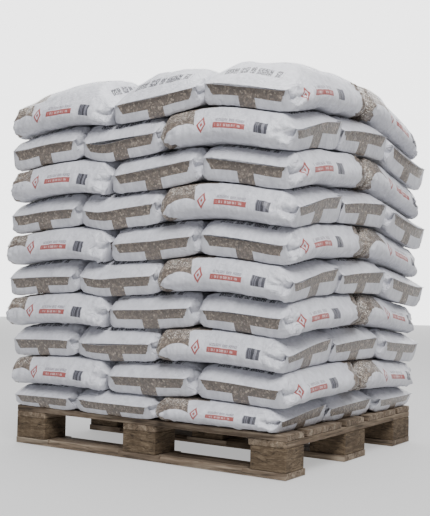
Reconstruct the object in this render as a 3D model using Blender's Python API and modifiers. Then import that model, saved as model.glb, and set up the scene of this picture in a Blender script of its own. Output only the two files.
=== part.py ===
"""Pallet of sacks: seventy filled sacks in ten layers on a used nine-block wooden pallet.

Units are metres, +Z is up and the origin is on the floor, below the middle of the pallet.
The pallet's long side runs along X. The front of the stack is at -Y.
"""
import math

import bmesh
import bpy
from mathutils import Matrix, Vector

# Clearance kept between touching pieces, and the size under which an edge is closed up
GAP = 0.0003
SLIVER = 0.00005

# Pallet
PALLET_LENGTH = 1.200
PALLET_DEPTH = 1.000
PLANK = 0.0217
BLOCK_HEIGHT = 0.078
BLOCK_WIDTH = 0.145
NARROW_BLOCK_WIDTH = 0.136
CROSS_BOARD_WIDTH = 0.145
WOOD_EDGE = 0.0025

# Rows of blocks from the front to the rear: name, block depth, bottom board depth
BLOCK_ROWS = (
    ("front", 0.118, 0.128),
    ("middle", 0.163, 0.171),
    ("rear", 0.160, 0.166),
)
COLUMNS = ("left", "middle", "right")

# Deck boards from the front to the rear
DECK_BOARD_WIDTHS = (0.120, 0.100, 0.145, 0.145, 0.145, 0.100, 0.120)
DECK_BOARD_GAPS = (0.019, 0.006, 0.0375, 0.0375, 0.006, 0.019)

# Chamfer along the upper edges of the bottom boards, between the blocks
CHAMFER = 0.014
CHAMFER_END_CLEARANCE = 0.020

# Sacks, as laid: one cell of the stacking pattern for each sack
SACK_LENGTH = 0.530
SACK_WIDTH = 0.3535
LAYER_COUNT = 10
BOTTOM_LAYER_HEIGHT = 0.098
SECOND_LAYER_HEIGHT = 0.1196
LAYER_RELAX = 0.0016
STACK_TOP = 1.400
EVEN_SHIFT = 0.012

# The beds of the layers sag in slopes. Along the front and back edges they hang from a fold line
# at some distance from the middle, and more towards the left. At the right corners they hang
# from a fold line across the corner: side, drop at the corner, and the fold's share of the way.
STACK_HALF_LENGTH = 0.632
STACK_HALF_DEPTH = 0.544
EDGE_SAGS = ((-1, 0.042, 0.200), (1, 0.042, 0.233))
LEFT_LEAN = 0.050
CORNER_SAGS = ((-1, 0.075, 1.35), (1, 0.092, 1.08))
SAG_GROWTH = 0.6

# Shape of one sack: a sloping flap over the seam at its +X end and a blunt end at -X
SEAM_SHARE = 0.60
SEAM_LIP = 0.0030
SEAM_REACH = 0.00425
FLAP_RUN = 0.098
COVERED_FLAP_RUN = 0.052
FLAP_FOOT = 0.026
FLAP_POWER = 1.8
CLEAR_REACH = 0.00425
CLEAR_SHOULDER = 0.030
CLEAR_END_SHARES = (0.14, 0.86)
EDGE_INSET = 0.015
SIDE_SWELL = 0.016
END_SWELL = 0.012
LIP_SWELL = 0.003
LOWER_ROW = 0.30
UPPER_ROW = 0.68

# The seven sacks of a layer are filled a little differently, so their sides cross and never coincide
SWELL_STEPS = (0.0005, 0.0009, 0.0013, 0.0018, 0.0, 0.0007, 0.0)

# The sacks of the top layer are free to bulge upwards
TOP_EDGE_HEIGHT = 0.126
TOP_SEAM_SHARE = 0.585
CROWN_RUN = 0.15
CROWN_START = 0.45
CROWN_POWER = 2.4

# The three sacks whose flaps face right, from the front: outward shift, seam height and its tilt
RIGHT_ROW = ((-0.004, 0.68, 0.12), (0.006, 0.63, 0.06), (0.012, 0.66, 0.05))

DECK_TOP = 3 * PLANK + BLOCK_HEIGHT + 3 * GAP

# Finishes: colour, roughness
WOOD_FINISH = ((0.22, 0.15, 0.09, 1.0), 0.85)
BLOCK_FINISH = ((0.20, 0.13, 0.075, 1.0), 0.9)
FILM_FINISH = ((0.62, 0.62, 0.66, 1.0), 0.4)


def clear_scene():
    """Remove the objects that are already in the scene."""
    for old in list(bpy.data.objects):
        bpy.data.objects.remove(old, do_unlink=True)


def new_collection(name):
    collection = bpy.data.collections.new(name)
    bpy.context.scene.collection.children.link(collection)
    return collection


def add_material(obj, finish):
    """Give an object a plain Principled material of its own."""
    colour, roughness = finish
    material = bpy.data.materials.new(obj.name)
    material.use_nodes = True
    shader = material.node_tree.nodes["Principled BSDF"]
    shader.inputs["Base Color"].default_value = colour
    shader.inputs["Roughness"].default_value = roughness
    shader.inputs["Metallic"].default_value = 0.0
    obj.data.materials.clear()
    obj.data.materials.append(material)


def add_box(collection, name, low, high):
    """A box between two corners, with its origin in the middle."""
    low = Vector(low)
    high = Vector(high)
    mesh = bpy.data.meshes.new(name)
    shape = bmesh.new()
    bmesh.ops.create_cube(shape, size=1.0)
    bmesh.ops.scale(shape, vec=high - low, verts=shape.verts)
    shape.to_mesh(mesh)
    shape.free()
    obj = bpy.data.objects.new(name, mesh)
    obj.location = (low + high) / 2
    collection.objects.link(obj)
    return obj


def ease_edges(obj, width):
    """Break the sawn edges of a wooden piece."""
    bevel = obj.modifiers.new("eased edges", "BEVEL")
    bevel.width = width
    bevel.segments = 1
    bevel.limit_method = "ANGLE"
    bevel.angle_limit = math.radians(60)


def row_spans():
    """Front and rear Y of the blocks and of the bottom board, row by row."""
    half = PALLET_DEPTH / 2
    spans = {}
    for name, block_depth, board_depth in BLOCK_ROWS:
        if name == "front":
            spans[name] = ((-half, -half + block_depth), (-half, -half + board_depth))
        elif name == "rear":
            spans[name] = ((half - block_depth, half), (half - board_depth, half))
        else:
            spans[name] = ((-block_depth / 2, block_depth / 2), (-board_depth / 2, board_depth / 2))
    return spans


def column_span(column, width):
    """Left and right X of a piece of that width in one column."""
    half = PALLET_LENGTH / 2
    if column == "left":
        return -half, -half + width
    if column == "right":
        return half - width, half
    return -width / 2, width / 2


def chamfer_bottom_board(board, cutters, board_span):
    """Slope the board's upper edges between the blocks, where a pallet truck's wheels climb."""
    cutter = bpy.data.objects.new(board.name + "_chamfers", bpy.data.meshes.new("chamfers"))
    shape = bmesh.new()
    bay_start = -PALLET_LENGTH / 2 + BLOCK_WIDTH + CHAMFER_END_CLEARANCE
    bay_end = -BLOCK_WIDTH / 2 - CHAMFER_END_CLEARANCE
    bay_middle = (bay_start + bay_end) / 2
    side = CHAMFER * math.sqrt(2)
    for edge_y in board_span:
        for bay_x in (bay_middle, -bay_middle):
            prism = bmesh.ops.create_cube(shape, size=1.0)["verts"]
            bmesh.ops.scale(shape, vec=(bay_end - bay_start, side, side), verts=prism)
            turn = Matrix.Rotation(math.radians(45), 3, "X")
            bmesh.ops.rotate(shape, cent=(0, 0, 0), matrix=turn, verts=prism)
            bmesh.ops.translate(shape, vec=(bay_x, edge_y, PLANK), verts=prism)
    shape.to_mesh(cutter.data)
    shape.free()
    cutter.hide_render = True
    cutter.display_type = "WIRE"
    cutters.objects.link(cutter)
    cut = board.modifiers.new("chamfers", "BOOLEAN")
    cut.operation = "DIFFERENCE"
    cut.solver = "EXACT"
    cut.object = cutter


def build_bottom_boards(parts, cutters):
    for name, (_, board_span) in row_spans().items():
        low = (-PALLET_LENGTH / 2, board_span[0], 0.0)
        high = (PALLET_LENGTH / 2, board_span[1], PLANK)
        board = add_box(parts, f"bottom_board_{name}", low, high)
        add_material(board, WOOD_FINISH)
        chamfer_bottom_board(board, cutters, board_span)


def build_blocks(parts):
    bottom = PLANK + GAP
    for row, (block_span, _) in row_spans().items():
        for column in COLUMNS:
            narrow = (row, column) == ("front", "right")
            width = NARROW_BLOCK_WIDTH if narrow else BLOCK_WIDTH
            left, right = column_span(column, width)
            low = (left, block_span[0], bottom)
            high = (right, block_span[1], bottom + BLOCK_HEIGHT)
            block = add_box(parts, f"block_{row}_{column}", low, high)
            add_material(block, BLOCK_FINISH)
            ease_edges(block, WOOD_EDGE)


def build_cross_boards(parts):
    bottom = PLANK + BLOCK_HEIGHT + 2 * GAP
    for column in COLUMNS:
        left, right = column_span(column, CROSS_BOARD_WIDTH)
        low = (left, -PALLET_DEPTH / 2, bottom)
        high = (right, PALLET_DEPTH / 2, bottom + PLANK)
        board = add_box(parts, f"cross_board_{column}", low, high)
        add_material(board, WOOD_FINISH)
        ease_edges(board, WOOD_EDGE)


def build_deck_boards(parts):
    front = -PALLET_DEPTH / 2
    for number, width in enumerate(DECK_BOARD_WIDTHS, start=1):
        low = (-PALLET_LENGTH / 2, front, DECK_TOP - PLANK)
        high = (PALLET_LENGTH / 2, front + width, DECK_TOP)
        board = add_box(parts, f"deck_board_{number}", low, high)
        add_material(board, WOOD_FINISH)
        ease_edges(board, WOOD_EDGE)
        if number <= len(DECK_BOARD_GAPS):
            front += width + DECK_BOARD_GAPS[number - 1]


def layer_levels():
    """Lower and upper Z of each layer: the lower layers are pressed thinner."""
    levels = []
    bottom = DECK_TOP
    for number in range(1, LAYER_COUNT + 1):
        if number == 1:
            top = bottom + BOTTOM_LAYER_HEIGHT
        elif number == LAYER_COUNT:
            top = STACK_TOP
        else:
            top = bottom + SECOND_LAYER_HEIGHT + LAYER_RELAX * (number - 2)
        levels.append((bottom + GAP, top))
        bottom = top
    return levels


def layer_pattern(number):
    """The seven sacks of a layer: centre, turn, flap length, seam height and its tilt."""
    even = number % 2 == 0
    flip = -1 if even else 1
    half_length = (2 * SACK_WIDTH + SACK_LENGTH) / 2
    seam = TOP_SEAM_SHARE if number == LAYER_COUNT else SEAM_SHARE
    sacks = []
    for column in range(2):
        x = flip * (-half_length + (column + 0.5) * SACK_WIDTH)
        if even and column == 1:
            x -= EVEN_SHIFT
        for side in (-1, 1):
            sacks.append((x, side * SACK_LENGTH / 2, math.radians(90) * side, FLAP_RUN, seam, 0.0))
    for row, (shift, right_seam, tilt) in zip((-1, 0, 1), RIGHT_ROW):
        x = flip * (half_length - SACK_LENGTH / 2)
        if even:
            sacks.append((x - EVEN_SHIFT, row * SACK_WIDTH, 0.0, COVERED_FLAP_RUN, seam, 0.0))
        else:
            sacks.append((x + shift, row * SACK_WIDTH, 0.0, FLAP_RUN, right_seam, tilt))
    return sacks


def rise(share):
    """From 0 to 1, steep at first: how filled film leaves a seam."""
    return 1.0 - (1.0 - min(max(share, 0.0), 1.0)) ** FLAP_POWER


def sack_rings(height, crown, flap_run, seam, tilt, swell_step):
    """Cross-sections along a sack from its blunt end to its seam.

    Each is a station along X, the reach of its sides, and a function that gives the lower and
    upper height for a place across it.
    """
    half = SACK_LENGTH / 2
    edge = SACK_WIDTH / 2 - EDGE_INSET
    side = SACK_WIDTH / 2 - swell_step

    def full(across):
        return 0.0, height

    def blunt(across):
        return CLEAR_END_SHARES[0] * height, CLEAR_END_SHARES[1] * height

    def foot(across):
        level = (seam + tilt * across) * height
        return 0.0, level + (height - level) * rise(FLAP_FOOT / flap_run)

    def lip(across):
        level = (seam + tilt * across) * height
        return level - SEAM_LIP, level + SEAM_LIP

    rings = [
        (-half - CLEAR_REACH, edge, blunt),
        (-half + CLEAR_SHOULDER, side + END_SWELL, full),
        (0.0, side + SIDE_SWELL, full),
        (half - flap_run, side + END_SWELL, full),
        (half - FLAP_FOOT, side + LIP_SWELL, foot),
        (half + SEAM_REACH, edge, lip),
    ]
    if crown:
        rings.insert(2, (-half + 0.5 * CROWN_RUN, side + SIDE_SWELL, full))
        rings.insert(4, (half - CROWN_RUN, side + SIDE_SWELL, full))
    return edge, rings


def ring_points(station, reach, heights, edge, crown):
    """The corners of one cross-section, in order round the sack."""
    share = min(max((SACK_LENGTH / 2 - abs(station)) / CROWN_RUN, 0.0), 1.0)
    lift = crown * (CROWN_START + (1.0 - CROWN_START) * share) if share else 0.0
    points = []
    for across in (-1.0, -0.5, 0.0, 0.5, 1.0) if crown else (-1.0, 1.0):
        upper = heights(across)[1] + lift * (1.0 - abs(across) ** CROWN_POWER)
        points.append(Vector((station, across * edge, upper)))
    lower, upper = heights(1.0)
    points.append(Vector((station, reach, lower + UPPER_ROW * (upper - lower))))
    points.append(Vector((station, reach, lower + LOWER_ROW * (upper - lower))))
    points.append(Vector((station, edge, lower)))
    lower, upper = heights(-1.0)
    points.append(Vector((station, -edge, lower)))
    points.append(Vector((station, -reach, lower + LOWER_ROW * (upper - lower))))
    points.append(Vector((station, -reach, lower + UPPER_ROW * (upper - lower))))
    return points


def bed_slopes():
    """The sloping planes of the top layer's bed: drop at the origin, and its growth with X and Y."""
    slopes = []
    for side, drop, fold in EDGE_SAGS:
        steepness = drop / (STACK_HALF_DEPTH - fold)
        slopes.append((-fold * steepness, -LEFT_LEAN, side * steepness))
    for side, drop, fold in CORNER_SAGS:
        steepness = drop / (2.0 - fold)
        by_x = steepness / STACK_HALF_LENGTH
        slopes.append((-fold * steepness, by_x, side * steepness / STACK_HALF_DEPTH))
    return slopes


def bed_drop(x, y):
    """How far the top layer's bed hangs below its middle at a place on the stack."""
    return max(0.0, *(base + by_x * x + by_y * y for base, by_x, by_y in bed_slopes()))


def sag_share(z):
    """The sag starts at the deck and is full at the top layer's bed."""
    last_level = layer_levels()[-1][0]
    share = (z - DECK_TOP) / (last_level - DECK_TOP)
    return min(max(share, 0.0), 1.0) ** SAG_GROWTH


def crease_along_beds(shape):
    """Cut the lines where the slopes of the beds meet into a sack, alike in all layers."""
    front, back, front_corner, back_corner = bed_slopes()
    folds = [front, back, front_corner, back_corner]
    for first, second in ((front, front_corner), (back, back_corner), (front, back)):
        folds.append(tuple(a - b for a, b in zip(first, second)))
    for base, by_x, by_y in folds:
        normal = Vector((by_x, by_y, 0.0))
        point = -base * normal / normal.length_squared
        everything = list(shape.verts) + list(shape.edges) + list(shape.faces)
        bmesh.ops.bisect_plane(shape, geom=everything, dist=1e-6, plane_co=point, plane_no=normal)


def sag_with_beds(shape, level):
    """Lower a sack with the beds. Touching layers sag alike, so they stay in contact."""
    bottom, top = level
    below = sag_share(bottom - GAP)
    above = sag_share(top)
    for vertex in shape.verts:
        share = (vertex.co.z - bottom) / (top - bottom)
        vertex.co.z -= bed_drop(vertex.co.x, vertex.co.y) * (below + (above - below) * share)


def add_sack(collection, name, sack, level, on_top, swell_step):
    """One closed sack in its cell of the layer."""
    x, y, turn, flap_run, seam, tilt = sack
    bottom, top = level
    height = TOP_EDGE_HEIGHT if on_top else top - bottom
    crown = top - bottom - height if on_top else 0.0
    edge, rings = sack_rings(height, crown, flap_run, seam, tilt, swell_step)
    mesh = bpy.data.meshes.new(name)
    shape = bmesh.new()
    loops = []
    for station, reach, heights in rings:
        points = ring_points(station, reach, heights, edge, crown)
        loops.append([shape.verts.new(point) for point in points])
    for near, far in zip(loops, loops[1:]):
        for index in range(len(near)):
            after = (index + 1) % len(near)
            shape.faces.new((near[index], near[after], far[after], far[index]))
    shape.faces.new(loops[0])
    shape.faces.new(list(reversed(loops[-1])))
    place = Matrix.Translation((x, y, bottom)) @ Matrix.Rotation(turn, 4, "Z")
    bmesh.ops.transform(shape, matrix=place, verts=shape.verts)
    bmesh.ops.triangulate(shape, faces=shape.faces)
    crease_along_beds(shape)
    sag_with_beds(shape, level)
    bmesh.ops.triangulate(shape, faces=shape.faces)
    bmesh.ops.recalc_face_normals(shape, faces=shape.faces)
    shape.to_mesh(mesh)
    shape.free()
    obj = bpy.data.objects.new(name, mesh)
    collection.objects.link(obj)
    return obj


def close_slivers(mesh):
    """Close up the tiny edges that the union leaves where faces nearly meet."""
    shape = bmesh.new()
    shape.from_mesh(mesh)
    bmesh.ops.triangulate(shape, faces=shape.faces)
    bmesh.ops.remove_doubles(shape, verts=shape.verts, dist=SLIVER)
    bmesh.ops.dissolve_degenerate(shape, edges=shape.edges, dist=SLIVER)
    shape.to_mesh(mesh)
    shape.free()


def build_layer(parts, number, level):
    """One solid for a layer of sacks, with the gaps between the sacks cut into its faces."""
    on_top = number == LAYER_COUNT
    neighbours = new_collection(f"sacks of layer {number}")
    sacks = []
    for index, (sack, step) in enumerate(zip(layer_pattern(number), SWELL_STEPS)):
        collection = parts if index == 0 else neighbours
        sacks.append(add_sack(collection, f"sack_{number}_{index}", sack, level, on_top, step))
    union = sacks[0].modifiers.new("layer", "BOOLEAN")
    union.operation = "UNION"
    union.solver = "EXACT"
    union.operand_type = "COLLECTION"
    union.collection = neighbours
    evaluated = sacks[0].evaluated_get(bpy.context.evaluated_depsgraph_get())
    mesh = bpy.data.meshes.new_from_object(evaluated)
    close_slivers(mesh)
    layer = bpy.data.objects.new(f"sack_layer_{number:02d}", mesh)
    parts.objects.link(layer)
    for sack in sacks:
        bpy.data.objects.remove(sack, do_unlink=True)
    bpy.data.collections.remove(neighbours)
    add_material(layer, FILM_FINISH)
    mesh.shade_smooth()
    mesh.set_sharp_from_angle(angle=math.radians(40))


def main():
    clear_scene()
    parts = new_collection("pallet_of_sacks")
    cutters = new_collection("cutters")
    build_bottom_boards(parts, cutters)
    build_blocks(parts)
    build_cross_boards(parts)
    build_deck_boards(parts)
    for number, level in enumerate(layer_levels(), start=1):
        build_layer(parts, number, level)


main()
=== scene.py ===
"""Looks of the pallet of sacks: filled film sacks in ten layers on a used wooden pallet.

All lengths are in metres. A sack's own frame has +X towards its folded end, with the T-shaped
window, and -X towards its clear end. The top panel faces up.
"""
import math

import bpy
import numpy as np
from mathutils import Matrix, Vector


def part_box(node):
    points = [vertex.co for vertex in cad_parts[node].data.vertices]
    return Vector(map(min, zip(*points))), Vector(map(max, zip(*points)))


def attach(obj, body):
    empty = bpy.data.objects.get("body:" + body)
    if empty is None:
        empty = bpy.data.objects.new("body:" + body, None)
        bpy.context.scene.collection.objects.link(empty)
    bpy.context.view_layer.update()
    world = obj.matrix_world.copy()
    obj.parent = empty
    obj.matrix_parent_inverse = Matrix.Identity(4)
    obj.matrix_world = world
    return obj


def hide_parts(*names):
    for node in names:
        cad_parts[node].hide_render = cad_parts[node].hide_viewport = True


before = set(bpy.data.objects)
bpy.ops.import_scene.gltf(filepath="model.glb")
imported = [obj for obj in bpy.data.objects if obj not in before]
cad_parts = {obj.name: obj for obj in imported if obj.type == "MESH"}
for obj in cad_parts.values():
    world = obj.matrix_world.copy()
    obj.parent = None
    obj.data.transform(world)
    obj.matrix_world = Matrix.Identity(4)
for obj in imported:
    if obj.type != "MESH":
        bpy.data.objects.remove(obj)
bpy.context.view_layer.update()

# Stack, as in the frame
LAYERS = 10
SACKS_IN_LAYER = 7
SACK_LENGTH = 0.530
SACK_WIDTH = 0.3535
EVEN_SHIFT = 0.012
# Left and right X of the columns of sacks whose folded ends face the front and the back
ODD_COLUMNS = ((-0.6285, -0.2890), (-0.2890, 0.0860))
EVEN_COLUMNS = ((-0.1430, 0.2500), (0.2500, 0.6185))
# The three sacks whose folded ends face right, front to back: outward shift, seam, its tilt, and
# yaw in degrees
RIGHT_ROW = {4: (-0.004, 0.68, 0.12, 0.0), 5: (0.004, 0.63, 0.06, -3.5), 6: (0.018, 0.66, 0.05, 0.0)}
# How far each layer, from the lowest up, reaches past the regular stack at its left and its right
LEFT_REACH = (-0.024, -0.018, -0.012, 0.016, 0.016, 0.024, 0.022, 0.006, 0.020, 0.014)
RIGHT_REACH = (-0.035, -0.008, -0.012, -0.004, 0.012, 0.002, 0.014, 0.002, 0.012, 0.0)
HALF_X = (SACK_LENGTH + 2 * SACK_WIDTH) / 2
HALF_Y = SACK_LENGTH
DECK_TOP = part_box("deck_board_1")[1][2]
LEVELS = [DECK_TOP] + [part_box(f"sack_layer_{number:02d}")[1][2] for number in range(1, LAYERS + 1)]

# How far the edges of the layer under the top one hang below its middle, along the stack's sides
FRONT_DROP = (
    (-0.61, 0.067), (-0.56, 0.058), (-0.50, 0.049), (-0.40, 0.044), (-0.32, 0.042), (-0.25, 0.050),
    (-0.19, 0.063), (-0.14, 0.062), (-0.08, 0.053), (0.0, 0.047), (0.08, 0.040), (0.13, 0.031),
    (0.20, 0.023), (0.27, 0.017), (0.34, 0.019), (0.40, 0.026), (0.47, 0.037), (0.53, 0.053),
    (0.62, 0.072),
)
RIGHT_DROP = (
    (-0.56, 0.072), (-0.50, 0.057), (-0.44, 0.043), (-0.38, 0.031), (-0.32, 0.021), (-0.27, 0.021),
    (-0.20, 0.018), (-0.13, 0.009), (-0.05, 0.004), (0.05, 0.003), (0.10, 0.005), (0.16, 0.015),
    (0.21, 0.027), (0.26, 0.041), (0.32, 0.053), (0.38, 0.067), (0.44, 0.080), (0.53, 0.088),
)
BACK_DROP = (
    (-0.61, 0.066), (-0.40, 0.046), (-0.17, 0.056), (0.10, 0.036), (0.30, 0.032), (0.45, 0.055),
    (0.62, 0.088),
)
LEFT_DROP = ((-0.53, 0.067), (-0.30, 0.040), (0.0, 0.020), (0.30, 0.040), (0.53, 0.066))
DROP_BLUR = 0.05
DROP_REACH = 2.8
DROP_LIMIT = 1.04
CORNER_POWER = 8
END_POWER = 6
RIM_HALF = 0.75
RIM_STEP = 0.005
SAG_GROWTH = 0.6
SACK_ARCH = 0.005
ARCH_POWER = 4

# How unevenly the sacks lie, with yaw in degrees, and how they meet
SHIFT_SPREAD = 0.003
YAW_SPREAD = 0.8
SEAM_SPREAD = 0.03
TILT_SPREAD = 0.03
OUTSIDE_MARGIN = 0.03
CONTACT_GAP = 0.0003

# Seams: the folded end has a long sloping flap over its seam, the clear end is blunt
SEAM_SHARE = 0.60
TOP_SEAM_HEIGHT = 0.074
FLAP_RUN = 0.062
TOP_FLAP_RUN = 0.112
COVERED_FLAP_RUN = 0.050
CLEAR_FLAP_RUN = 0.036
FLAP_POWER = 1.5
TUCK_RUN = 0.026
FIN = 0.007
FIN_DROOP = 0.002
FIN_THINNING = 0.4
FILM = 0.0006

# Sides: bellied between the panels, with a fold line from each end's corner
EDGE_INSET = 0.021
SIDE_SWELL = 0.010
MIDDLE_SWELL = 0.012
SWELL_POWER = 4
SIDE_ROUNDING = 2.3
SIDE_SAG = 0.25
BELLY_RUN = 0.042
CLEAR_BELLY_RUN = 0.034
PRESSED_BELLY_RUN = 0.016
GUSSET_FOLD = 0.042
GUSSET_RUN = 0.100
CLEAR_GUSSET_FOLD = 0.016
CLEAR_GUSSET_RUN = 0.032
CREASE_POWER = 2.6

# Panels: rounded at their edges, and crowned on the top layer
PANEL_ROUNDING = 0.007
PANEL_EDGE_POWER = 6
TOP_EDGE_HEIGHT = 0.128
CROWN_RUN = 0.150
CROWN_EXTRA = 0.012
CROWN_POWER = 2.4
CROWN_AT_SEAM = 0.45

# Film: its reach down a side, how much of the clear end is tucked in, how a covered end is pressed
SIDE_FILM = 0.125
PRESSED_FILM = 0.045
COVERED_SHIFT = 0.010
PRESS = 0.030
PRESS_RUN = 0.160

# Wrinkles: how high each kind stands, and its length, place and reach from the seam
WRINKLE_FADE = 0.06
PLEAT_HEIGHT = 0.0016
PLEAT_LENGTH = 0.032
PLEAT_PLACE = 0.030
PLEAT_REACH = 0.030
SOFT_HEIGHT = 0.0020
SOFT_LENGTH = 0.075
FINE_HEIGHT = 0.0010
FINE_LENGTH = 0.034
FINE_SHARE = 0.5
BROAD_HEIGHT = 0.0035
BROAD_LENGTH = 0.21
DRAPE_HEIGHT = 0.0016
DRAPE_LENGTH = 0.030
CRUMPLE_HEIGHT = 0.0075
CRUMPLE_LENGTH = 0.034
CRUMPLE_PLACE = 0.050
CRUMPLE_REACH = 0.030
STAR_HEIGHT = 0.0055
STAR_PLACE = 0.080
STAR_RAYS = 3.5
STAR_SHARPNESS = 0.6
STAR_RADIUS = 0.034
STAR_REACH = 0.026

# Detail of the mesh
PANEL_STEPS = 16
TOP_PANEL_STEPS = 28
SIDE_STEPS = 20
END_ROWS = 20
END_RUN = 0.112
END_CROWDING = 1.5
BODY_ROWS = 24


def smooth_step(value):
    """From 0 to 1 without a kink at either end."""
    value = np.clip(value, 0.0, 1.0)
    return value * value * (3.0 - 2.0 * value)


def rise(share):
    """From 0 to 1, steep at first: how filled film leaves a seam."""
    return 1.0 - (1.0 - np.clip(share, 0.0, 1.0)) ** FLAP_POWER


def bell(value, centre, reach):
    """1 at the centre, and fading on both sides of it."""
    return np.exp(-((value - centre) ** 2) / reach**2)


def random_waves(seed, *coordinates, wavelength, count=6, spread=0.5):
    """A smooth random field between about -1 and 1: a sum of waves with random directions."""
    draw = np.random.default_rng(seed)
    total = 0.0
    for _ in range(count):
        direction = draw.normal(size=len(coordinates))
        direction /= np.linalg.norm(direction)
        length = wavelength * (1.0 + spread * draw.uniform(-1.0, 1.0))
        phase = draw.uniform(0.0, 2.0 * math.pi)
        along = sum(part * value for part, value in zip(direction, coordinates))
        total = total + np.sin(2.0 * math.pi * along / length + phase)
    return total / math.sqrt(count * 2.0)


def layer_cells(number):
    """The seven sacks of a layer: the centre, turn and width of each."""
    even = number % 2 == 0
    flip = -1.0 if even else 1.0
    cells = []
    columns = [list(column) for column in (EVEN_COLUMNS if even else ODD_COLUMNS)]
    if even:
        columns[-1][1] += RIGHT_REACH[number - 1]
    else:
        columns[0][0] -= LEFT_REACH[number - 1]
    for left, right in columns:
        for side in (-1, 1):
            turn = math.radians(90.0) * side
            cells.append(((left + right) / 2, side * SACK_LENGTH / 2, turn, right - left))
    for row in (-1, 0, 1):
        x = flip * (HALF_X - SACK_LENGTH / 2) - (EVEN_SHIFT if even else 0.0)
        cells.append((x, row * SACK_WIDTH, 0.0, SACK_WIDTH))
    return cells


def rim_profile(knots):
    """A table of one side's drop against the place along that side, without its kinks."""
    places, drops = zip(*knots)
    along = np.linspace(-RIM_HALF, RIM_HALF, round(2 * RIM_HALF / RIM_STEP) + 1)
    drop = np.interp(along, places, drops)
    window = np.hanning(int(DROP_BLUR / RIM_STEP) * 2 + 1)
    padded = np.pad(drop, len(window) // 2, mode="edge")
    return along, np.convolve(padded, window / window.sum(), mode="valid")


FRONT, RIGHT, BACK, LEFT = (rim_profile(knots) for knots in (FRONT_DROP, RIGHT_DROP, BACK_DROP, LEFT_DROP))


def layer_drop(x, y):
    """How far the bed of the top layer hangs below its middle at a place on the stack."""
    a = np.abs(x) / HALF_X
    b = np.abs(y) / HALF_Y
    reach = np.maximum((a**CORNER_POWER + b**CORNER_POWER) ** (1.0 / CORNER_POWER), 1e-6)
    at_ends = b**END_POWER / (a**END_POWER + b**END_POWER + 1e-12)
    along_x = np.where(y < 0.0, np.interp(x / reach, *FRONT), np.interp(x / reach, *BACK))
    along_y = np.where(x > 0.0, np.interp(y / reach, *RIGHT), np.interp(y / reach, *LEFT))
    rim = at_ends * along_x + (1.0 - at_ends) * along_y
    return rim * np.minimum(reach, DROP_LIMIT) ** DROP_REACH


def cell_reach(turn, width):
    """Half of a cell's sides along X and Y."""
    if abs(math.sin(turn)) > 0.5:
        return width / 2, SACK_LENGTH / 2
    return SACK_LENGTH / 2, width / 2


def sack_arch(number, x, y):
    """0 to 1: how a boundary arches over each sack of the layer below it."""
    arch = np.zeros_like(x)
    for cx, cy, turn, width in layer_cells(number):
        half_x, half_y = cell_reach(turn, width)
        u = np.clip(np.abs(x - cx) / half_x, 0.0, 1.0)
        v = np.clip(np.abs(y - cy) / half_y, 0.0, 1.0)
        arch = np.maximum(arch, (1.0 - u**ARCH_POWER) * (1.0 - v**ARCH_POWER))
    return arch


def boundary(index, x, y):
    """Height of the surface where layer index rests on what is below it."""
    if index == 0:
        return np.full_like(x, DECK_TOP)
    share = (LEVELS[index] - DECK_TOP) / (LEVELS[-2] - DECK_TOP)
    drop = layer_drop(x, y) * min(share, 1.0) ** SAG_GROWTH
    inside_x = np.clip(x, -HALF_X, HALF_X)
    inside_y = np.clip(y, -HALF_Y, HALF_Y)
    return LEVELS[index] - drop + SACK_ARCH * (sack_arch(index, inside_x, inside_y) - 1.0)


def contact_limits(low, high, outside):
    """Where a sack meets its neighbours on both sides: no limit on the outside of the stack."""
    lowest = low + CONTACT_GAP if low > -outside + OUTSIDE_MARGIN else -np.inf
    highest = high - CONTACT_GAP if high < outside - OUTSIDE_MARGIN else np.inf
    return lowest, highest


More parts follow.
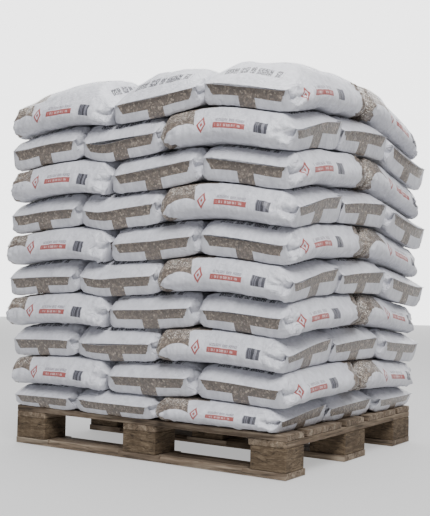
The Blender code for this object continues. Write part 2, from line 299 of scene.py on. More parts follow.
class Sack:
    """Builds one filled sack as a closed mesh in its place in the stack."""

    def __init__(self, number, index):
        self.number = number
        self.index = index
        self.seed = 1000 * number + 10 * index
        self.draw = np.random.default_rng(self.seed)
        self.on_top = number == LAYERS
        self.panel_steps = TOP_PANEL_STEPS if self.on_top else PANEL_STEPS
        self.cell = layer_cells(number)[index]
        mean_height = LEVELS[number] - LEVELS[number - 1]
        self.height = TOP_EDGE_HEIGHT if self.on_top else mean_height
        self.crown = mean_height + CROWN_EXTRA - TOP_EDGE_HEIGHT if self.on_top else 0.0
        self.width = self.cell[3]
        self.shift = self.draw.uniform(-SHIFT_SPREAD, SHIFT_SPREAD, size=2)
        self.yaw = math.radians(self.draw.uniform(-YAW_SPREAD, YAW_SPREAD))
        self.seam = SEAM_SHARE + self.draw.uniform(-SEAM_SPREAD, SEAM_SPREAD)
        self.tilt = self.draw.uniform(-TILT_SPREAD, TILT_SPREAD)
        if self.on_top:
            self.seam = TOP_SEAM_HEIGHT / self.height
        if number % 2 == 1 and index in RIGHT_ROW:
            outward, self.seam, self.tilt, yaw = RIGHT_ROW[index]
            self.shift[0] += outward
            self.yaw += math.radians(yaw)
        self.covered = number % 2 == 0 and index in RIGHT_ROW
        if self.covered:
            self.shift[0] -= COVERED_SHIFT
        self.reach = 0.0
        if index in RIGHT_ROW:
            self.reach = (LEFT_REACH if self.covered else RIGHT_REACH)[number - 1]

    def rows(self):
        """Stations along the sack: dense near both seams, and one more at each fin's edge."""
        share = np.linspace(0.0, 1.0, END_ROWS)
        near = END_RUN * share**END_CROWDING
        half = SACK_LENGTH / 2
        body = np.linspace(-half + END_RUN, half - END_RUN, BODY_ROWS)[1:-1]
        return np.concatenate([[-half - FIN], -half + near, body, (half - near)[::-1], [half + FIN]])

    def columns(self):
        """Round the sack: which panel a point belongs to, and its place across it, -1 to 1."""
        panel = np.linspace(-1.0, 1.0, self.panel_steps + 1)[:-1]
        side = np.linspace(-1.0, 1.0, SIDE_STEPS + 1)[:-1]
        kinds = np.repeat([0, 1, 2, 3], [len(panel), len(side), len(panel), len(side)])
        return kinds, np.concatenate([panel, side, panel, side])

    def ends(self, x):
        """How the film fills out from the seams: flap, tuck, belly and the side fold's depth."""
        folded = x > 0.0
        from_seam = np.maximum(SACK_LENGTH / 2 - np.abs(x), 0.0)
        folded_run = TOP_FLAP_RUN if self.on_top else COVERED_FLAP_RUN if self.covered else FLAP_RUN
        flap = rise(from_seam / np.where(folded, folded_run, CLEAR_FLAP_RUN))
        tuck = rise(from_seam / TUCK_RUN)
        clear_run = CLEAR_BELLY_RUN if self.covered else PRESSED_BELLY_RUN
        belly = rise(from_seam / np.where(folded, BELLY_RUN, clear_run))
        fold_run = np.where(folded, GUSSET_RUN, CLEAR_GUSSET_RUN)
        fold = np.where(folded, GUSSET_FOLD, CLEAR_GUSSET_FOLD) * (1.0 - smooth_step(from_seam / fold_run))
        return flap, tuck, belly, fold

    def crown_height(self, x, kinds, place):
        """How far the upper panel stands above the sack's edges: nothing below the top layer."""
        from_seam = np.maximum(SACK_LENGTH / 2 - np.abs(x), 0.0)
        arch = np.where(kinds == 0, 1.0 - np.abs(place) ** CROWN_POWER, 0.0)
        lengthwise = CROWN_AT_SEAM + (1.0 - CROWN_AT_SEAM) * smooth_step(from_seam / CROWN_RUN)
        return self.crown * arch * lengthwise

    def side_reach(self, x, place, down, belly, fold):
        """How far a side stands out from the sack's middle line."""
        sag = 2.0 * down - 1.0 - SIDE_SAG * (1.0 - place**2)
        swell = EDGE_INSET + SIDE_SWELL + MIDDLE_SWELL * (1.0 - (x / (SACK_LENGTH / 2)) ** SWELL_POWER)
        bulge = belly * swell * (1.0 - np.abs(sag) ** SIDE_ROUNDING)
        return self.width / 2 - EDGE_INSET + bulge - fold * (1.0 - np.abs(place)) ** CREASE_POWER

    def surface(self):
        """Points on the film in the sack's own frame, as rows by columns by three."""
        x = self.rows()[:, None]
        kinds, place = self.columns()
        kinds = kinds[None, :]
        place = place[None, :]
        flap, tuck, belly, fold = self.ends(x)
        fin = np.clip((np.abs(x) - SACK_LENGTH / 2) / FIN, 0.0, 1.0)
        edge = self.width / 2 - EDGE_INSET
        across = np.select([kinds == 0, kinds == 1, kinds == 2], [place, 1.0, -place], default=-1.0)
        seam = self.height * (self.seam + self.tilt * across * (x > 0.0)) - FIN_DROOP * fin
        film = FILM * (1.0 - FIN_THINNING * fin)
        top = seam + film + (self.height + self.crown_height(x, kinds, place) - seam) * flap
        bottom = (seam - film) * (1.0 - tuck)
        rim = PANEL_ROUNDING * belly * np.abs(place) ** PANEL_EDGE_POWER
        corner_top = top - PANEL_ROUNDING * belly
        corner_bottom = bottom + PANEL_ROUNDING * belly
        down = np.where(kinds == 3, 1.0 - place, place + 1.0) / 2.0
        out = self.side_reach(x, place, down, belly, fold)
        y = np.select([kinds == 1, kinds == 3], [out, -out], default=across * edge)
        z = np.select(
            [kinds == 0, kinds == 2],
            [top - rim, bottom + rim],
            default=corner_top + (corner_bottom - corner_top) * down,
        )
        return np.stack([np.broadcast_to(x, y.shape), y, z], axis=-1)

    def star(self, x, z, from_seam):
        """Creases that fan out on a side from the tip of the fold line."""
        star_x = from_seam - STAR_PLACE
        star_z = z - self.seam * self.height
        angle = STAR_RAYS * np.arctan2(star_z, star_x) + self.draw.uniform(0.0, 3.0)
        rays = np.abs(np.sin(angle)) ** STAR_SHARPNESS - 0.6
        return STAR_HEIGHT * rays * bell(np.hypot(star_x, star_z), STAR_RADIUS, STAR_REACH) * (x > 0.0)

    def wrinkles(self, points, kinds):
        """How far each point of the film stands out or in."""
        x, y, z = points[..., 0], points[..., 1], points[..., 2]
        from_seam = np.maximum(SACK_LENGTH / 2 - np.abs(x), 0.0)
        is_side = (kinds == 1) | (kinds == 3)
        seed = self.seed
        pleats = random_waves(seed + 1, y, 0.25 * x, wavelength=PLEAT_LENGTH, count=5)
        pleats = PLEAT_HEIGHT * pleats * bell(from_seam, PLEAT_PLACE, PLEAT_REACH)
        soft = SOFT_HEIGHT * random_waves(seed + 2, x, 0.4 * z, y, wavelength=SOFT_LENGTH)
        fine = FINE_HEIGHT * random_waves(seed + 3, x, 0.5 * z, y, wavelength=FINE_LENGTH)
        broad = BROAD_HEIGHT * random_waves(seed + 4, x, y, wavelength=BROAD_LENGTH)
        crumple = np.abs(random_waves(seed + 5, x, z, y, wavelength=CRUMPLE_LENGTH, count=5)) - 0.5
        crumple = CRUMPLE_HEIGHT * crumple * bell(from_seam, CRUMPLE_PLACE, CRUMPLE_REACH)
        drape = DRAPE_HEIGHT * random_waves(seed + 6, x, 0.18 * z, wavelength=DRAPE_LENGTH, count=5)
        body = smooth_step(from_seam / WRINKLE_FADE)
        side = self.star(x, z, from_seam) + crumple + (soft + fine + drape) * body
        panel = pleats + (soft + broad if self.on_top else FINE_SHARE * fine) * body
        return np.where(is_side, side, panel)

    def local_points(self):
        """Points on the wrinkled film in the sack's own frame."""
        points = self.surface()
        kinds, _ = self.columns()
        kinds = np.broadcast_to(kinds[None, :], points.shape[:2])
        along = np.gradient(points, axis=0)
        around = (np.roll(points, -1, axis=1) - np.roll(points, 1, axis=1)) / 2.0
        normal = np.cross(around, along)
        normal /= np.maximum(np.linalg.norm(normal, axis=-1, keepdims=True), 1e-9)
        relief = self.wrinkles(points, kinds)
        relief[0] = relief[-1] = 0.0
        relief[1] = relief[-2] = 0.0
        return points - normal * relief[..., None]

    def place(self, points):
        """Set the sack down in its layer: pressed against its neighbours, above and below."""
        cx, cy, turn, width = self.cell
        cos, sin = math.cos(turn + self.yaw), math.sin(turn + self.yaw)
        along = points[..., 0]
        if self.covered:
            press_start = SACK_LENGTH / 2 - PRESS_RUN
            along = along - PRESS * smooth_step((along - press_start) / PRESS_RUN)
        outward = -0.5 if self.covered else 0.5
        along = along * (1.0 + self.reach / SACK_LENGTH) + outward * self.reach
        x = cx + self.shift[0] + along * cos - points[..., 1] * sin
        y = cy + self.shift[1] + along * sin + points[..., 1] * cos
        half_x, half_y = cell_reach(turn, width)
        right = EVEN_COLUMNS[0][0] if self.covered else cx + half_x
        left = ODD_COLUMNS[1][1] if self.number % 2 == 1 and self.index in RIGHT_ROW else cx - half_x
        x = np.clip(x, *contact_limits(left, right, HALF_X))
        y = np.clip(y, *contact_limits(cy - half_y, cy + half_y, HALF_Y))
        below = boundary(self.number - 1, x, y)
        if self.on_top:
            z = below + CONTACT_GAP + np.maximum(points[..., 2], 0.0)
        else:
            above = boundary(self.number, x, y)
            share = np.clip(points[..., 2] / self.height, 0.0, 1.0)
            z = below + CONTACT_GAP + share * (above - below - 2.0 * CONTACT_GAP)
        return np.stack([x, y, z], axis=-1)

    def faces(self, shape):
        """Quads round the sack and a cap on each fin's edge, all facing outwards."""
        rows, columns = shape
        row, column = np.meshgrid(np.arange(rows - 1), np.arange(columns), indexing="ij")
        beside = (column + 1) % columns
        quads = np.stack(
            [
                row * columns + column,
                (row + 1) * columns + column,
                (row + 1) * columns + beside,
                row * columns + beside,
            ],
            axis=-1,
        ).reshape(-1, 4)
        first = list(range(columns))
        last = [(rows - 1) * columns + step for step in range(columns)][::-1]
        return quads, first, last

    def film_maps(self, points):
        """Film distance from each seam, the same all across a panel."""
        steps = np.linalg.norm(np.diff(points, axis=0), axis=-1)
        travelled = np.concatenate([np.zeros((1, points.shape[1])), np.cumsum(steps, axis=0)])
        kinds, _ = self.columns()
        for kind in range(4):
            travelled[:, kinds == kind] = travelled[:, kinds == kind].mean(axis=1, keepdims=True)
        from_clear = travelled - travelled[1] - (COVERED_SHIFT if self.covered else PRESSED_FILM)
        from_folded = travelled[-2] - travelled
        return from_clear, from_folded

    def build(self, material):
        """Make the sack's mesh and put it on the frame in place of its layer's solid."""
        local = self.local_points()
        placed = self.place(local)
        rows, columns = placed.shape[:2]
        quads, first, last = self.faces((rows, columns))
        name = f"sack_{self.number:02d}_{self.index + 1}"
        mesh = bpy.data.meshes.new(name)
        mesh.from_pydata(placed.reshape(-1, 3).tolist(), [], quads.tolist() + [first, last])
        mesh.polygons.foreach_set("use_smooth", [True] * len(mesh.polygons))
        self.write_maps(mesh, local, rows, columns)
        mesh.materials.append(material)
        obj = bpy.data.objects.new(name, mesh)
        bpy.context.scene.collection.objects.link(obj)
        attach(obj, "root")
        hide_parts(f"sack_layer_{self.number:02d}")

    def write_maps(self, mesh, local, rows, columns):
        """Two film maps: U is the distance from a seam, V says which panel and where across it."""
        from_clear, from_folded = self.film_maps(local)
        kinds, place = self.columns()
        quad_kind = np.tile(kinds, rows - 1)
        start = np.tile(place, rows - 1)
        step = np.where((kinds == 0) | (kinds == 2), 2.0 / self.panel_steps, 2.0 / SIDE_STEPS)
        end = start + np.tile(step, rows - 1)

        def across(value):
            panel = value * SACK_WIDTH / 2
            side = (value + 1.0) / 2.0 * SIDE_FILM
            return np.select(
                [quad_kind == 0, quad_kind == 1, quad_kind == 2],
                [panel, 1.0 + side, 2.0 - panel],
                default=3.0 + SIDE_FILM - side,
            )

        v_start, v_end = across(start), across(end)
        v_corners = np.stack([v_start, v_start, v_end, v_end], axis=-1).reshape(-1)
        corners = np.array([loop.vertex_index for loop in mesh.loops])
        for name, distance in (("clear_end", from_clear), ("folded_end", from_folded)):
            layer = mesh.uv_layers.new(name=name)
            u = distance.reshape(-1)[corners]
            v = np.zeros(len(corners))
            v[: len(v_corners)] = v_corners
            layer.data.foreach_set("uv", np.stack([u, v], axis=-1).reshape(-1))


class Look:
    """A material whose nodes are written as plain calls."""

    def __init__(self, name):
        self.material = bpy.data.materials.new(name)
        self.material.use_nodes = True
        self.nodes = self.material.node_tree.nodes
        self.links = self.material.node_tree.links
        self.shader = self.nodes["Principled BSDF"]

    def put(self, socket, value):
        if isinstance(value, bpy.types.NodeSocket):
            self.links.new(value, socket)
        elif value is not None:
            socket.default_value = value

    def math(self, operation, first, second=None, third=None, clamp=False):
        node = self.nodes.new("ShaderNodeMath")
        node.operation = operation
        node.use_clamp = clamp
        for socket, value in zip(node.inputs, (first, second, third)):
            self.put(socket, value)
        return node.outputs[0]

    def add(self, first, second):
        return self.math("ADD", first, second)

    def minus(self, first, second):
        return self.math("SUBTRACT", first, second)

    def times(self, first, second):
        return self.math("MULTIPLY", first, second)

    def both(self, *masks):
        result = masks[0]
        for mask in masks[1:]:
            result = self.times(result, mask)
        return result

    def either(self, *masks):
        result = masks[0]
        for mask in masks[1:]:
            result = self.math("MAXIMUM", result, mask)
        return result

    def invert(self, mask):
        return self.minus(1.0, mask)

    def over(self, value, limit):
        return self.math("GREATER_THAN", value, limit)

    def under(self, value, limit):
        return self.math("LESS_THAN", value, limit)

    def between(self, value, low, high):
        return self.both(self.over(value, low), self.under(value, high))

    def rectangle(self, u, v, start, box):
        """A box of left, right, top and foot, measured from a start along U."""
        left, right, top, foot = box
        return self.both(self.between(u, start + left, start + right), self.between(v, top, foot))

    def oval(self, u, v, centre, radii):
        """Distance from a centre: 1 on the oval."""
        across = self.math("POWER", self.times(self.minus(u, centre[0]), 1.0 / radii[0]), 2.0)
        down = self.math("POWER", self.times(self.minus(v, centre[1]), 1.0 / radii[1]), 2.0)
        return self.math("SQRT", self.add(across, down))

    def map(self, name):
        node = self.nodes.new("ShaderNodeUVMap")
        node.uv_map = name
        parts = self.nodes.new("ShaderNodeSeparateXYZ")
        self.links.new(node.outputs[0], parts.inputs[0])
        return parts.outputs[0], parts.outputs[1]

    def vector(self, x=0.0, y=0.0, z=0.0):
        node = self.nodes.new("ShaderNodeCombineXYZ")
        for socket, value in zip(node.inputs, (x, y, z)):
            self.put(socket, value)
        return node.outputs[0]

    def position(self, scale=(1.0, 1.0, 1.0)):
        """A place on the object, in metres, stretched."""
        place = self.nodes.new("ShaderNodeTexCoord")
        node = self.nodes.new("ShaderNodeVectorMath")
        node.operation = "MULTIPLY"
        self.links.new(place.outputs["Object"], node.inputs[0])
        node.inputs[1].default_value = scale
        return node.outputs[0]

    def parts(self, vector):
        node = self.nodes.new("ShaderNodeSeparateXYZ")
        self.links.new(vector, node.inputs[0])
        return node.outputs

    def noise(self, vector, scale, detail=2.0, roughness=0.5, distortion=0.0):
        node = self.nodes.new("ShaderNodeTexNoise")
        self.put(node.inputs["Vector"], vector)
        node.inputs["Scale"].default_value = scale
        node.inputs["Detail"].default_value = detail
        node.inputs["Roughness"].default_value = roughness
        node.inputs["Distortion"].default_value = distortion
        return node.outputs["Fac"]

    def cells(self, vector, scale, feature="F1", randomness=1.0):
        node = self.nodes.new("ShaderNodeTexVoronoi")
        node.feature = feature
        self.put(node.inputs["Vector"], vector)
        node.inputs["Scale"].default_value = scale
        node.inputs["Randomness"].default_value = randomness
        return node

    def random(self, vector):
        node = self.nodes.new("ShaderNodeTexWhiteNoise")
        self.put(node.inputs["Vector"], vector)
        return node.outputs["Value"]

    def ramp(self, value, *stops):
        """Colours or greys at places from 0 to 1."""
        node = self.nodes.new("ShaderNodeValToRGB")
        self.put(node.inputs[0], value)
        elements = node.color_ramp.elements
        while len(elements) < len(stops):
            elements.new(0.5)
        for element, (where, colour) in zip(elements, stops):
            element.position = where
            element.color = (*colour, 1.0)
        return node.outputs[0]

    def mix(self, mask, first, second, blend="MIX"):
        node = self.nodes.new("ShaderNodeMix")
        node.data_type = "RGBA"
        node.blend_type = blend
        self.put(node.inputs["Factor"], mask)
        for socket, value in ((node.inputs[6], first), (node.inputs[7], second)):
            if isinstance(value, tuple):
                value = (*value, 1.0)
            self.put(socket, value)
        return node.outputs[2]

    def blend(self, mask, first, second):
        """A number between two numbers."""
        node = self.nodes.new("ShaderNodeMix")
        node.data_type = "FLOAT"
        self.put(node.inputs["Factor"], mask)
        self.put(node.inputs[2], first)
        self.put(node.inputs[3], second)
        return node.outputs[0]

    def bump(self, height, distance, strength=1.0, normal=None):
        node = self.nodes.new("ShaderNodeBump")
        node.inputs["Strength"].default_value = strength
        node.inputs["Distance"].default_value = distance
        self.put(node.inputs["Height"], height)
        if normal is not None:
            self.links.new(normal, node.inputs["Normal"])
        return node.outputs[0]

    def finish(self, colour, roughness, normal=None, **plain):
        self.put(self.shader.inputs["Base Color"], colour)
        self.put(self.shader.inputs["Roughness"], roughness)
        if normal is not None:
            self.links.new(normal, self.shader.inputs["Normal"])
        for name, value in plain.items():
            self.shader.inputs[name.replace("_", " ")].default_value = value
        return self.material


# Colours of the film and its print
FILM_WHITE = (0.58, 0.585, 0.63)
# Grey of the film's random patches and of the shade painted along its fine pleats
FILM_SHADE = (0.46, 0.462, 0.505)
CORAL = (0.30, 0.085, 0.080)
CORAL_PALE = (0.50, 0.36, 0.36)
INK = (0.045, 0.045, 0.055)
# Painted highlight: the colour of the glints painted on the clear film's folds
PAINTED_GLINT = (0.80, 0.77, 0.70)
BLOCK_INK = (0.17, 0.17, 0.20)
PALE_INK = (0.27, 0.26, 0.29)
BLACK = (0.0, 0.0, 0.0)
WHITE = (1.0, 1.0, 1.0)

# Clear windows, along the film from a seam, and across or down it
LEFT_SLANT = (0.128, 0.42)
HILL_CENTRE = (0.100, 0.118)
HILL_RADII = (0.090, 0.071)
HILL_FOOT = (0.086, 0.6)
RIGHT_STRIP = 0.040
RIGHT_JAG = 0.022
TOP_SLANT = (0.130, 0.40)
BOTTOM_STRIP = 0.050
T_EDGE = 0.001
T_BAND = 0.040
T_BAND_REACH = (0.160, 0.5)
T_STEM = 0.092
T_STEM_REACH = 0.035

# Print on a side, as left, right, top and foot from where it starts
LEFT_PRINT_START = 0.161
RIGHT_PRINT_START = 0.081
EMBLEM_CENTRE = (0.019, 0.062)
EMBLEM_RADII = (0.019, 0.032)
BAR = (0.067, 0.191, 0.056, 0.077)
BAR_STROKES = (0.076, 0.182, 0.062, 0.071)
SMALL_PRINT = (0.067, 0.186, 0.041, 0.052)
BLOCK = (0.226, 0.276, 0.040, 0.082)
STRIPES_PER_METRE = 420.0

# Print on the top panel: nearest and furthest from the folded seam, and how far from the middle
TOP_MARKS = (0.058, 0.092, 0.125)
TOP_LARGE_MARKS = (0.150, 0.176, 0.105)
TOP_RULE = (0.196, 0.202, 0.100)


class FilmPlaces:
    """Where a point lies on a sack's film: on which panel, how far from each seam, how far across."""

    def __init__(self, look):
        self.clear_u, self.across = look.map("clear_end")
        self.folded_u, _ = look.map("folded_end")
        self.on_top = look.under(self.across, 0.5)
        self.on_right = look.between(self.across, 0.5, 1.5)
        self.on_bottom = look.between(self.across, 1.5, 2.5)
        self.on_left = look.over(self.across, 2.5)
        self.right_depth = look.minus(self.across, 1.0)
        self.left_depth = look.minus(self.across, 3.0)
        self.bottom_across = look.math("ABSOLUTE", look.minus(self.across, 2.0))


def film_material():
    """White printed film with clear windows over the pellets."""
    look = Look("sack_film")
    film = FilmPlaces(look)
    windows = window_mask(look, film)
    pellet_colour, pellet_height = pellets(look)
    seen = look.mix(0.06, pellet_colour, FILM_WHITE)
    # Painted glints: light specks mixed into the colour of the clear film
    seen = look.mix(painted_glint_mask(look, film), seen, PAINTED_GLINT)
    colour = look.mix(windows, printed_colour(look, film), seen)
    normal = look.bump(film_relief(look, film), distance=0.006, strength=0.65)
    pressed = look.times(windows, pellet_height)
    normal = look.bump(pressed, distance=0.0018, strength=0.7, normal=normal)
    shiver = look.noise(look.position(), 60.0, detail=4.0, distortion=2.0)
    look.put(look.shader.inputs["Coat Normal"], look.bump(shiver, distance=0.006, strength=0.75))
    look.put(look.shader.inputs["Coat Weight"], look.blend(windows, 0.10, 0.50))
    roughness = look.blend(windows, 0.38, 0.30)
    return look.finish(colour, roughness, normal, Coat_Roughness=0.14, Specular_IOR_Level=0.35)


def window_mask(look, film):
    """All clear windows of a sack."""
    return look.either(
        look.both(film.on_left, left_window(look, film.clear_u, film.left_depth)),
        look.both(film.on_right, right_window(look, film.clear_u, film.right_depth)),
        look.both(film.on_top, top_window(look, film.clear_u, film.across)),
        look.both(film.on_bottom, folded_window(look, film.folded_u, film.bottom_across)),
        look.both(film.on_bottom, look.under(film.clear_u, BOTTOM_STRIP)),
    )


def painted_glint_mask(look, film):
    """Painted glints: light specks painted into the colour of the clear film's folds, most of them where it
    is tucked in at the seam and the top.
    """
    high_on_left = look.both(look.under(film.left_depth, 0.030), film.on_left)
    tucked = look.either(look.under(film.clear_u, 0.020), high_on_left)
    folds = look.noise(look.position((1.0, 1.0, 1.5)), 130.0, detail=2.0, roughness=0.6, distortion=2.5)
    return look.both(look.over(folds, look.blend(tucked, 0.72, 0.605)), look.under(film.clear_u, 0.20))


def film_relief(look, film):
    """Creases, crinkles, pleats and the pellets' imprint: sharpest on the sides beside the seam."""
    bend = look.noise(look.position(), 26.0, detail=2.0, distortion=1.0)
    creased = look.math("ABSOLUTE", look.minus(bend, 0.5))
    crinkle = look.noise(look.position((1.0, 1.0, 0.6)), 85.0, detail=3.0, distortion=1.0)
    imprint = look.cells(look.position(), 95.0).outputs["Distance"]
    pleats = look.noise(look.position((1.0, 1.0, 0.14)), 70.0, detail=2.0)
    beside_seam = look.ramp(film.folded_u, (0.055, WHITE), (0.125, BLACK))
    on_side = look.either(film.on_left, film.on_right)
    sharpness = look.add(1.3, look.times(look.both(beside_seam, on_side), 3.2))
    height = look.add(look.times(creased, sharpness), look.times(crinkle, 0.45))
    return look.add(height, look.add(look.times(imprint, 0.20), look.times(pleats, 0.40)))


def printed_colour(look, film):
    """White film with the print of both sides and the top panel."""
    colour = white_film_colour(look)
    colour = print_side(look, colour, film.on_left, film.clear_u, film.left_depth, LEFT_PRINT_START)
    colour = print_side(look, colour, film.on_right, film.folded_u, film.right_depth, RIGHT_PRINT_START)
    return print_top(look, colour, film)


def left_window(look, u, depth):
    """The clear end on the left side: slanted edge, with a white hill in its lower part."""
    slant = look.add(LEFT_SLANT[0], look.times(depth, LEFT_SLANT[1]))
    hill = look.under(look.oval(u, depth, HILL_CENTRE, HILL_RADII), 1.0)
    above_foot = look.under(depth, look.add(HILL_FOOT[0], look.times(u, HILL_FOOT[1])))
    return look.both(look.under(u, slant), look.invert(look.both(hill, above_foot)))


def right_window(look, u, depth):
    """The clear end on the right side: only a short jagged strip."""
    jag = look.times(look.math("PINGPONG", depth, RIGHT_JAG), 0.8)
    return look.under(u, look.add(RIGHT_STRIP, jag))


def top_window(look, u, across):
    """The clear end on the top panel, cut off at a slant."""
    return look.under(u, look.minus(TOP_SLANT[0], look.times(across, TOP_SLANT[1])))


def folded_window(look, u, across):
    """The T-shaped window under the folded end's seam."""
    ragged = look.times(look.noise(look.position(), 70.0), 0.016)
    limit = look.minus(look.add(T_BAND_REACH[0], ragged), look.times(u, T_BAND_REACH[1]))
    band = look.both(look.between(u, T_EDGE, T_BAND), look.under(across, limit))
    stem = look.both(look.between(u, T_EDGE, T_STEM), look.under(across, T_STEM_REACH))
    return look.either(band, stem)


def white_film_colour(look):
    """White film, a little grey in random patches, and with painted shade in short upright streaks along
    fine pleats.
    """
    # Painted shade: upright streaks of grey, as in fine pleats
    pleat_shade = look.noise(look.position((1.0, 1.0, 0.35)), 55.0, detail=3.0)
    broad = look.noise(look.position(), 8.0, detail=3.0)
    share = look.add(look.times(pleat_shade, 0.6), look.times(broad, 0.4))
    return look.ramp(share, (0.36, FILM_SHADE), (0.60, FILM_WHITE))


def strokes(look, along, depth, pitch, seed):
    """A row of short upright strokes of unlike widths and heights, as small print looks from afar."""
    slot = look.math("FLOOR", look.times(along, pitch))
    draw = look.random(look.vector(slot, seed))
    cut = look.noise(look.vector(look.times(along, pitch), look.times(depth, 260.0), seed), 1.6, detail=1.0)
    return look.both(look.over(draw, 0.28), look.over(cut, 0.44))


def print_side(look, colour, on_side, u, depth, start):
    """Generic print on a side panel: nested lozenges, a row of strokes, a bar and a striped block."""
    from_middle = look.math("ABSOLUTE", look.minus(u, start + EMBLEM_CENTRE[0]))
    from_centre = look.math("ABSOLUTE", look.minus(depth, EMBLEM_CENTRE[1]))
    along = look.times(from_middle, 1.0 / EMBLEM_RADII[0])
    down = look.times(from_centre, 1.0 / EMBLEM_RADII[1])
    lozenge = look.add(along, down)
    emblem = look.either(look.between(lozenge, 0.60, 1.0), look.under(lozenge, 0.28))
    bar = look.rectangle(u, depth, start, BAR)
    inner = look.rectangle(u, depth, start, BAR_STROKES)
    pale = look.both(inner, strokes(look, u, depth, pitch=260.0, seed=5.0))
    line = look.rectangle(u, depth, start, SMALL_PRINT)
    small_print = look.both(line, strokes(look, u, depth, pitch=230.0, seed=3.0))
    block = look.rectangle(u, depth, start, BLOCK)
    stripe = look.random(look.vector(look.math("FLOOR", look.times(u, STRIPES_PER_METRE)), 7.0))
    colour = look.mix(look.both(on_side, look.either(emblem, bar)), colour, CORAL)
    colour = look.mix(look.both(on_side, pale), colour, CORAL_PALE)
    colour = look.mix(look.both(on_side, small_print), colour, PALE_INK)
    stripes = look.ramp(stripe, (0.2, INK), (0.9, BLOCK_INK))
    return look.mix(look.both(on_side, block), colour, stripes)


def top_row(look, film, row):
    """One row across the top panel."""
    nearest, furthest, reach = row
    from_middle = look.math("ABSOLUTE", film.across)
    return look.both(look.between(film.folded_u, nearest, furthest), look.under(from_middle, reach))


def print_top(look, colour, film):
    """Generic print on the top panel: two rows of dark strokes and a thin coral rule."""
    small = strokes(look, film.across, film.folded_u, pitch=130.0, seed=11.0)
    large = strokes(look, film.across, film.folded_u, pitch=90.0, seed=13.0)
    marks = look.both(top_row(look, film, TOP_MARKS), small)
    more = look.both(top_row(look, film, TOP_LARGE_MARKS), large)
    colour = look.mix(look.both(film.on_top, look.either(marks, more)), colour, INK)
    return look.mix(look.both(film.on_top, top_row(look, film, TOP_RULE)), colour, CORAL)


# Colours of the pellets
# Painted shade: the dark colour of the gaps between packed pellets
PELLET_GAP_SHADE = (0.055, 0.042, 0.033)
PELLET_DARK = (0.072, 0.052, 0.037)
PELLET_MID = (0.128, 0.096, 0.070)
PELLET_LIGHT = (0.200, 0.154, 0.114)
PELLET_PALE = (0.330, 0.270, 0.210)
PELLETS_PER_METRE = 135.0


def pellets(look):
    """Packed wood pellets seen through the film, with painted shade in the gaps between them: colour and
    height.
    """
    twist = look.noise(look.position(), 30.0, detail=1.0)
    swirl = look.nodes.new("ShaderNodeVectorMath")
    swirl.operation = "ADD"
    look.links.new(look.position(), swirl.inputs[0])
    look.links.new(look.vector(look.times(twist, 0.012), look.times(twist, -0.009)), swirl.inputs[1])
    cells = look.cells(swirl.outputs[0], PELLETS_PER_METRE)
    edges = look.cells(swirl.outputs[0], PELLETS_PER_METRE, feature="DISTANCE_TO_EDGE")
    shade = look.parts(cells.outputs["Color"])[0]
    wood = look.ramp(shade, (0.0, PELLET_DARK), (0.5, PELLET_MID), (0.85, PELLET_LIGHT), (1.0, PELLET_PALE))
    # Painted shade in the gaps between the pellets
    gap_shade = look.ramp(edges.outputs["Distance"], (0.0, BLACK), (0.10, WHITE))
    colour = look.mix(gap_shade, PELLET_GAP_SHADE, wood)
    return colour, look.math("MINIMUM", edges.outputs["Distance"], 0.3)


# Colours of the pallet's wood
WOOD_DARK = (0.045, 0.034, 0.026)
WOOD_MID = (0.140, 0.112, 0.088)
WOOD_PALE = (0.330, 0.285, 0.235)
WORN = (0.420, 0.380, 0.320)
CRACK = (0.25, 0.25, 0.25)


def wood_material(name, stretch, warmth, worn=0.0, shade=1.0):
    """Weathered softwood: grain along one axis, stains, dark cracks and pale bare patches."""
    look = Look(name)
    grain = look.noise(look.position(stretch), 75.0, detail=5.0, roughness=0.65, distortion=0.4)
    fibre = look.noise(look.position(tuple(3.0 * part for part in stretch)), 120.0, detail=2.0)
    stain = look.noise(look.position(), 9.0, detail=4.0, roughness=0.6)
    share = look.add(look.times(grain, 0.50), look.add(look.times(fibre, 0.20), look.times(stain, 0.30)))
    colour = look.ramp(share, (0.32, WOOD_DARK), (0.50, WOOD_MID), (0.68, WOOD_PALE))
    crack = look.noise(look.position(tuple(0.6 * part for part in stretch)), 50.0, detail=3.0)
    thin = look.math("ABSOLUTE", look.minus(crack, 0.5))
    crack = look.ramp(thin, (0.0, CRACK), (0.022, WHITE))
    colour = look.mix(0.8, colour, crack, blend="MULTIPLY")
    rub = look.noise(look.position(stretch), 28.0, detail=4.0, roughness=0.7)
    rubbed = look.ramp(rub, (0.52, BLACK), (0.66, WHITE))
    colour = look.mix(look.times(rubbed, worn), colour, WORN)
    tint = (shade, (0.95 - 0.07 * warmth) * shade, (0.90 - 0.20 * warmth) * shade)
    colour = look.mix(1.0, colour, tint, blend="MULTIPLY")
    relief = look.add(look.add(look.times(grain, 0.7), look.times(fibre, 0.3)), look.times(crack, 0.5))
    normal = look.bump(relief, distance=0.0015, strength=0.7)
    return look.finish(colour, 0.82, normal, Specular_IOR_Level=0.25)


def dress_pallet():
    """Give every piece of the pallet its own grain."""
    along_x = wood_material("board_along", stretch=(0.06, 1.0, 1.0), warmth=0.3, worn=0.5)
    along_y = wood_material("board_across", stretch=(1.0, 0.06, 1.0), warmth=0.5, worn=0.3)
    block = wood_material("block", stretch=(0.30, 0.30, 1.6), warmth=1.0, shade=0.66)
    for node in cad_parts:
        if node.startswith("sack_layer"):
            continue
        obj = bpy.data.objects[node]
        finish = along_x
        if node.startswith("cross_board"):
            finish = along_y
        elif node.startswith("block"):
            finish = block
        obj.data.materials.clear()
        obj.data.materials.append(finish)


def build_sacks():
    """All seventy sacks, layer by layer, in one film."""
    film = film_material()
    for number in range(1, LAYERS + 1):
        for index in range(SACKS_IN_LAYER):
            Sack(number, index).build(film)


# Camera, fitted to the photograph's pallet and layer edges, with its angles in radians
CAMERA_PLACE = Vector((2.0887, -3.0813, 0.6069))
CAMERA_YAW = -0.55524
CAMERA_PITCH = 0.033516
CAMERA_ROLL = 0.020836
LENS = 65.0
SENSOR = 36.0
SHIFT_X = -0.0874
VIEW_END = 60.0

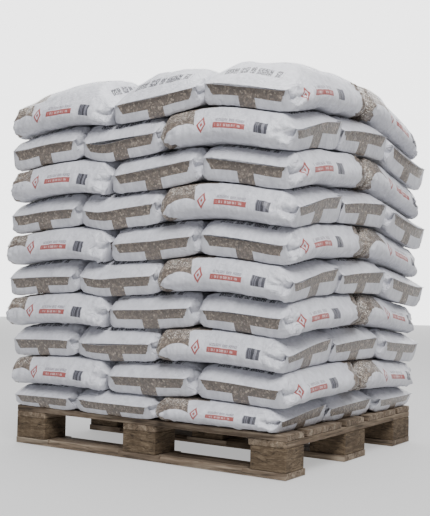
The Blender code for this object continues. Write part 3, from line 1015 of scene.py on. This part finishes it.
# Studio: each light's name, place, size, power and colour
LIGHTS_AIM = (0.0, 0.0, 0.8)
LIGHTS = (
    ("key", (2.9, -3.7, 5.7), 3.6, 770.0, (1.0, 1.0, 1.0)),
    ("overhead", (-0.3, 0.4, 4.6), 3.0, 180.0, (1.0, 1.0, 1.0)),
    ("side", (4.6, 1.6, 3.6), 3.0, 30.0, (1.0, 0.95, 0.9)),
)
SURROUND = (0.93, 0.95, 1.0)
SURROUND_STRENGTH = 0.16
FLOOR_SIZE = 30.0
FLOOR_HEIGHT = -0.002
FLOOR_GREY = 0.30
FLOOR_GLOW = 0.50
WALL_PLACE = (-7.5, 11.5, 0.0)
WALL_REACH = 16.0
WALL_FOOT = -0.1
WALL_TOP = 12.0
WALL_GREY = 0.80
WALL_GLOW = 3.0


def add_camera():
    """The photograph's camera."""
    data = bpy.data.cameras.new("camera")
    data.lens = LENS
    data.sensor_width = SENSOR
    data.shift_x = SHIFT_X
    data.clip_end = VIEW_END
    camera = bpy.data.objects.new("camera", data)
    level = Matrix.Rotation(-CAMERA_YAW, 4, "Z") @ Matrix.Rotation(math.radians(90.0), 4, "X")
    tilt = Matrix.Rotation(CAMERA_PITCH, 4, "X")
    roll = Matrix.Rotation(CAMERA_ROLL, 4, "Z")
    camera.matrix_world = Matrix.Translation(CAMERA_PLACE) @ level @ tilt @ roll
    bpy.context.scene.collection.objects.link(camera)
    bpy.context.scene.camera = camera


def add_area_light(name, place, size, power, colour):
    """A square soft light turned to the middle of the stack."""
    data = bpy.data.lights.new(name, "AREA")
    data.shape = "SQUARE"
    data.size = size
    data.energy = power
    data.color = colour
    light = bpy.data.objects.new(name, data)
    direction = Vector(LIGHTS_AIM) - Vector(place)
    light.rotation_euler = direction.to_track_quat("-Z", "Y").to_euler()
    light.location = place
    bpy.context.scene.collection.objects.link(light)


def glowing_material(name, grey, glow):
    """A plain matt surface of the studio that gives off some white light of its own."""
    look = Look(name)
    look.shader.inputs["Emission Strength"].default_value = glow
    return look.finish((grey, grey, grey, 1.0), 0.9, Emission_Color=(1.0, 1.0, 1.0, 1.0))


def add_floor():
    """A plain pale floor."""
    bpy.ops.mesh.primitive_plane_add(size=FLOOR_SIZE, location=(0.0, 0.0, FLOOR_HEIGHT))
    floor = bpy.context.object
    floor.name = "floor"
    floor.data.materials.append(glowing_material("floor", FLOOR_GREY, FLOOR_GLOW))


def add_backdrop():
    """A far white studio wall behind the object, lit evenly."""
    mesh = bpy.data.meshes.new("backdrop")
    corners = [
        (-WALL_REACH, 0.0, WALL_FOOT),
        (WALL_REACH, 0.0, WALL_FOOT),
        (WALL_REACH, 0.0, WALL_TOP),
        (-WALL_REACH, 0.0, WALL_TOP),
    ]
    mesh.from_pydata(corners, [], [(0, 1, 2, 3)])
    wall = bpy.data.objects.new("backdrop", mesh)
    wall.location = WALL_PLACE
    wall.rotation_euler = (0.0, 0.0, -CAMERA_YAW)
    wall.data.materials.append(glowing_material("backdrop", WALL_GREY, WALL_GLOW))
    bpy.context.scene.collection.objects.link(wall)


def add_surround():
    """Pale, dim light from all round."""
    world = bpy.data.worlds.new("studio")
    bpy.context.scene.world = world
    world.use_nodes = True
    background = world.node_tree.nodes["Background"]
    background.inputs["Color"].default_value = (*SURROUND, 1.0)
    background.inputs["Strength"].default_value = SURROUND_STRENGTH


def add_stage():
    """Floor, soft studio lights, surround and backdrop."""
    add_floor()
    add_surround()
    for light in LIGHTS:
        add_area_light(*light)
    add_backdrop()


def main():
    add_camera()
    add_stage()
    dress_pallet()
    build_sacks()


main()
